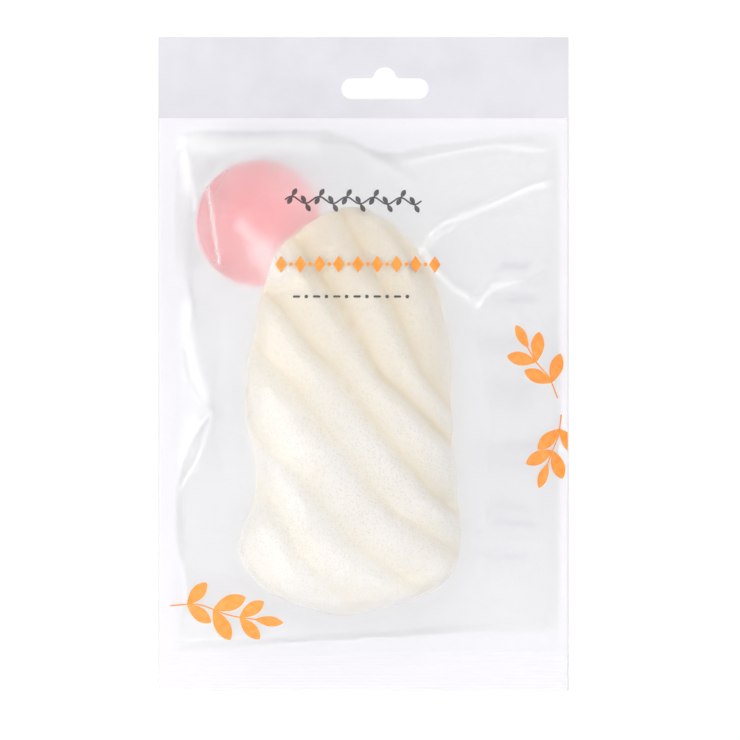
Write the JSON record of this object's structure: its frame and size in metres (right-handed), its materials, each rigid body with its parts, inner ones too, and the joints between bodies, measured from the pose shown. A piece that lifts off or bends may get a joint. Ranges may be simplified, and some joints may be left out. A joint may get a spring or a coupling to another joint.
{
  "type": "konjac body sponge in hanging pouch",
  "caption": "Ridged konjac body sponge sealed in a frosted hanging pouch with a bending header and hang slot, packed with a suction cup that carries a swivel hook.",
  "frame": {"origin": "on the resting face of the back film, under the middle of the pouch and its header", "axes": "+X across the pouch to the right, +Y up the pouch to the header, +Z out of the front film"},
  "size_m": [0.15, 0.239, 0.0343],
  "materials": {
    "header": "matte",
    "front_film": "frosted",
    "back_film": "frosted",
    "konjac": "porous",
    "soft_pink": "satin",
    "hook_clear": "gloss"
  },
  "bodies": {
    "pouch": {"front_film": "front_film", "back_film": "back_film"},
    "header": {"header_strip": "header"},
    "sponge": {"konjac_sponge": "konjac"},
    "suction_cup": {"suction_cup": "soft_pink"},
    "hook": {"cup_hook": "hook_clear"}
  },
  "joints": [
    {"name": "header_fold", "type": "hinge", "parent": "pouch", "child": "header", "pos_m": [0, 0.0897, 0.0002], "axis": [1, 0, 0], "range_deg": [-90, 120]},
    {"name": "sponge_slide", "type": "slide", "parent": "pouch", "child": "sponge", "axis": [0, 1, 0], "range_m": [-0.002, 0.0015]},
    {"name": "cup_slide", "type": "slide", "parent": "pouch", "child": "suction_cup", "axis": [0, 1, 0], "range_m": [0, 0.0025]},
    {"name": "hook_swivel", "type": "hinge", "parent": "suction_cup", "child": "hook", "pos_m": [-0.0386, 0.0509, 0.01067], "axis": [0.1736, 0, 0.9848], "range_deg": [-60, 60]}
  ]
}
